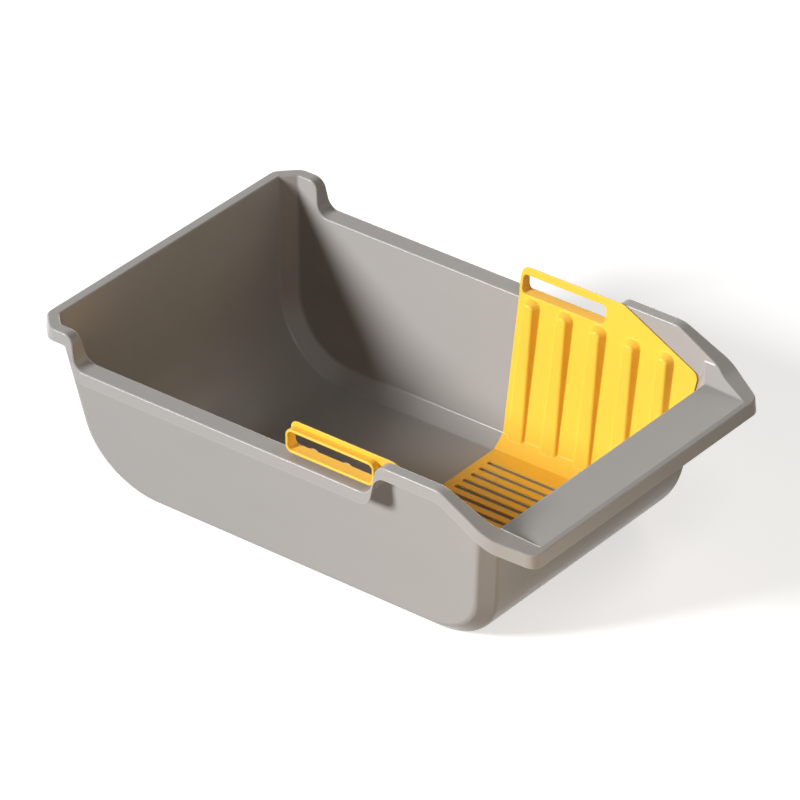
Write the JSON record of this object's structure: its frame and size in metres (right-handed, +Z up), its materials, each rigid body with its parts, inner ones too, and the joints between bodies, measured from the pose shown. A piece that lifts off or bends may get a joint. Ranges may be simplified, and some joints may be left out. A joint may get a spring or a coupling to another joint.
{
  "type": "litter tray",
  "caption": "Deep open litter tray with a stepped, turned-down rim, a low front ledge and a lift-out slotted insert with ribbed side plates and handle loops.",
  "frame": {"origin": "on the ground under the middle of the tray's rim outline", "axes": "+X to the low front where the animal walks in, +Y to the tray's left side, +Z up"},
  "size_m": [0.6004, 0.4004, 0.1968],
  "materials": {
    "tray": "satin warm grey, fine moulded grain",
    "insert": "satin warm yellow, fine moulded grain"
  },
  "bodies": {
    "tray": {"tray": "tray"},
    "insert": {"insert": "insert"}
  },
  "joints": [
    {"name": "insert_lift", "type": "slide", "parent": "tray", "child": "insert", "axis": [0, 0, 1], "range_m": [0, 0.21]}
  ]
}
